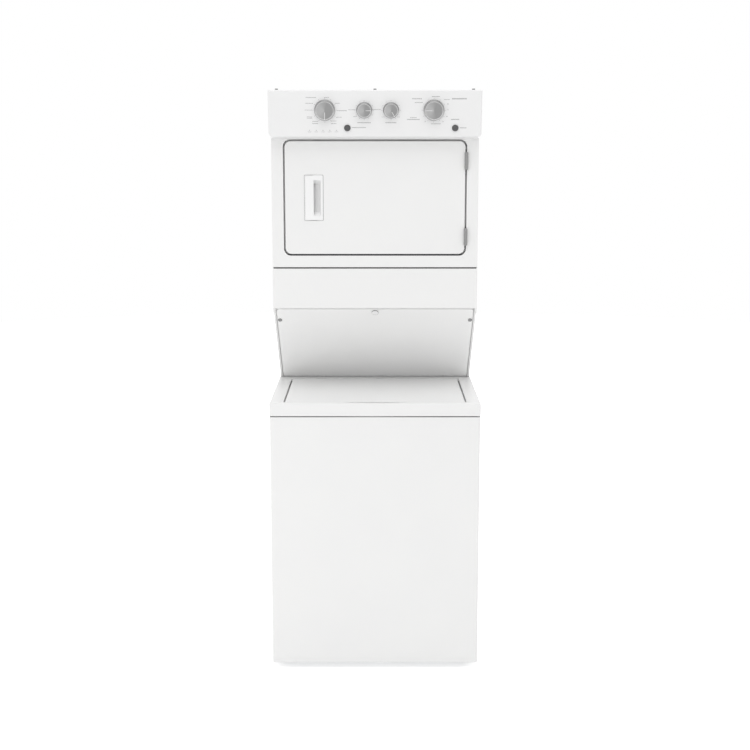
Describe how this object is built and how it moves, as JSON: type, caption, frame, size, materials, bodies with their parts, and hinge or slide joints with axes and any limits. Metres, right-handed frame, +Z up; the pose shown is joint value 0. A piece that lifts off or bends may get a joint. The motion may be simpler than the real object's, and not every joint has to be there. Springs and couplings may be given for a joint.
{
  "type": "washer dryer stack",
  "caption": "Free-standing laundry centre: top-loading washer with a lift-up lid, and above it a front-loading dryer with a side-hinged door and one console.",
  "frame": {"origin": "middle of the footprint on the floor, under the centre of the bounding box", "axes": "+X to the user's right when facing the machine, +Y to the rear, +Z up"},
  "size_m": [0.694, 0.82, 1.926],
  "materials": {
    "white_enamel": "baked gloss enamel",
    "galvanised_steel": "zinc coated, dull",
    "stainless_steel": "rolled, satin",
    "machined_steel": "turned",
    "motor_steel": "semi-gloss dip paint",
    "cast_aluminium": "as cast",
    "black_plastic": "moulded, fine grain",
    "tub_plastic": "moulded",
    "white_plastic": "moulded, semi-gloss",
    "screen_plastic": "moulded",
    "knob_silver": "silver coated with a spun face",
    "button_grey": "moulded, satin",
    "hinge_grey": "satin",
    "trim_grey": "moulded",
    "seal_rubber": "matt",
    "belt_rubber": "matt",
    "foot_rubber": "matt"
  },
  "bodies": {
    "frame": {"washer_cabinet": "white_enamel", "washer_rear_panel": "galvanised_steel", "washer_base": "galvanised_steel", "rear_feet": "foot_rubber", "inlet_valve": "black_plastic", "washer_top": "white_enamel", "lid_lock": "black_plastic", "suspension_rods": "galvanised_steel", "suspension_springs": "galvanised_steel", "dryer_stand": "white_enamel", "backsplash_panel": "white_enamel", "trim_screws": "trim_grey", "lid_catch": "white_plastic", "dryer_base_pan": "galvanised_steel", "dryer_cabinet": "white_enamel", "dryer_rear_panel": "galvanised_steel", "heater_box": "galvanised_steel", "terminal_cover": "galvanised_steel", "dryer_lower_panel": "white_enamel", "dryer_front_panel": "white_enamel", "front_bulkhead": "galvanised_steel", "exhaust_pipe": "galvanised_steel", "dryer_motor": "motor_steel", "blower_housing": "black_plastic", "drum_belt": "belt_rubber", "door_hinge_pins": "hinge_grey", "door_catch": "galvanised_steel", "console_shell": "white_plastic", "console_switches": "black_plastic"},
    "foot_front_left": {"foot_front_left": "foot_rubber"},
    "foot_front_right": {"foot_front_right": "foot_rubber"},
    "lid": {"washer_lid": "white_enamel"},
    "tub": {"outer_tub": "tub_plastic", "tub_ring": "tub_plastic", "gearcase": "cast_aluminium", "washer_motor": "motor_steel", "drain_pump": "black_plastic", "wash_belt": "belt_rubber"},
    "basket": {"wash_basket": "stainless_steel", "balance_ring": "white_plastic"},
    "agitator": {"agitator": "white_plastic"},
    "drive_pulley": {"drive_pulley": "black_plastic"},
    "wash_motor_pulley": {"wash_motor_pulley": "machined_steel"},
    "door": {"door_outer_panel": "white_enamel", "door_inner_panel": "white_enamel", "door_gasket": "seal_rubber", "door_handle": "white_plastic", "door_hinges": "hinge_grey"},
    "drum": {"dryer_drum": "stainless_steel"},
    "motor_rotor": {"motor_shaft": "machined_steel", "blower_wheel": "black_plastic"},
    "idler_arm": {"idler_arm": "galvanised_steel"},
    "idler_pulley": {"idler_pulley": "black_plastic"},
    "lint_screen": {"lint_screen": "screen_plastic"},
    "washer_cycle_knob": {"washer_cycle_knob": "knob_silver"},
    "load_size_knob": {"load_size_knob": "knob_silver"},
    "temperature_knob": {"temperature_knob": "knob_silver"},
    "dryer_timer_knob": {"dryer_timer_knob": "knob_silver"},
    "washer_start_button": {"washer_start_button": "button_grey"},
    "dryer_start_button": {"dryer_start_button": "button_grey"}
  },
  "joints": [
    {"name": "foot_front_left_screw", "type": "slide", "parent": "frame", "child": "foot_front_left", "axis": [0, 0, -1], "range_m": [0, 0.025]},
    {"name": "foot_front_right_screw", "type": "slide", "parent": "frame", "child": "foot_front_right", "axis": [0, 0, -1], "range_m": [0, 0.025]},
    {"name": "lid_hinge", "type": "hinge", "parent": "frame", "child": "lid", "pos_m": [0, 0.039, 0.91], "axis": [-1, 0, 0], "range_deg": [0, 47]},
    {"name": "tub_bounce", "type": "slide", "parent": "frame", "child": "tub", "axis": [0, 0, 1], "range_m": [-0.012, 0.012], "stiffness_N_per_m": 14000, "springref_m": 0.0192, "deforming": ["suspension_springs"]},
    {"name": "basket_spin", "type": "hinge", "parent": "tub", "child": "basket", "pos_m": [0, -0.064, 0.3], "axis": [0, 0, 1], "continuous": true},
    {"name": "agitator_turn", "type": "hinge", "parent": "tub", "child": "agitator", "pos_m": [0, -0.064, 0.3], "axis": [0, 0, 1], "continuous": true},
    {"name": "drive_pulley_spin", "type": "hinge", "parent": "tub", "child": "drive_pulley", "pos_m": [0, -0.064, 0.136], "axis": [0, 0, 1], "continuous": true},
    {"name": "wash_motor_spin", "type": "hinge", "parent": "tub", "child": "wash_motor_pulley", "pos_m": [0, 0.086, 0.136], "axis": [0, 0, 1], "continuous": true},
    {"name": "door_hinge", "type": "hinge", "parent": "frame", "child": "door", "pos_m": [0.3015, -0.2293, 1.57], "axis": [0, 0, 1], "range_deg": [0, 170]},
    {"name": "drum_spin", "type": "hinge", "parent": "frame", "child": "drum", "pos_m": [0, 0.1, 1.52], "axis": [0, 1, 0], "continuous": true},
    {"name": "dryer_motor_spin", "type": "hinge", "parent": "frame", "child": "motor_rotor", "pos_m": [0.262, 0, 1.278], "axis": [0, 1, 0], "continuous": true},
    {"name": "idler_arm_swing", "type": "hinge", "parent": "frame", "child": "idler_arm", "pos_m": [0.195, 0.093, 1.222], "axis": [0, -1, 0], "range_deg": [0, 10], "stiffness_Nm_per_rad": 1.5, "springref_deg": -34.38},
    {"name": "idler_pulley_spin", "type": "hinge", "parent": "idler_arm", "child": "idler_pulley", "pos_m": [0.14, 0.11, 1.2386], "axis": [0, 1, 0], "continuous": true},
    {"name": "lint_screen_pull", "type": "slide", "parent": "frame", "child": "lint_screen", "axis": [0, 0, 1], "range_m": [0, 0.17]},
    {"name": "washer_cycle_turn", "type": "hinge", "parent": "frame", "child": "washer_cycle_knob", "pos_m": [-0.163, -0.2738, 1.8575], "axis": [0, 0.992, 0.1261], "continuous": true},
    {"name": "load_size_turn", "type": "hinge", "parent": "frame", "child": "load_size_knob", "pos_m": [-0.035, -0.2738, 1.8575], "axis": [0, 0.992, 0.1261], "range_deg": [-180, 45]},
    {"name": "temperature_turn", "type": "hinge", "parent": "frame", "child": "temperature_knob", "pos_m": [0.052, -0.2738, 1.8575], "axis": [0, 0.992, 0.1261], "range_deg": [-240, 0]},
    {"name": "dryer_timer_turn", "type": "hinge", "parent": "frame", "child": "dryer_timer_knob", "pos_m": [0.191, -0.2738, 1.8575], "axis": [0, 0.992, 0.1261], "continuous": true},
    {"name": "washer_start_push", "type": "slide", "parent": "frame", "child": "washer_start_button", "axis": [0, 0.992, 0.1261], "range_m": [0, 0.003], "stiffness_N_per_m": 400, "springref_m": -0.003},
    {"name": "dryer_start_push", "type": "slide", "parent": "frame", "child": "dryer_start_button", "axis": [0, 0.992, 0.1261], "range_m": [0, 0.003], "stiffness_N_per_m": 400, "springref_m": -0.003}
  ],
  "couplings": [
    {"joint": "drive_pulley_spin", "follows": "basket_spin", "ratio": 1},
    {"joint": "wash_motor_spin", "follows": "basket_spin", "ratio": 4.1667},
    {"joint": "dryer_motor_spin", "follows": "drum_spin", "ratio": 24.364},
    {"joint": "idler_pulley_spin", "follows": "drum_spin", "ratio": -14.889}
  ]
}
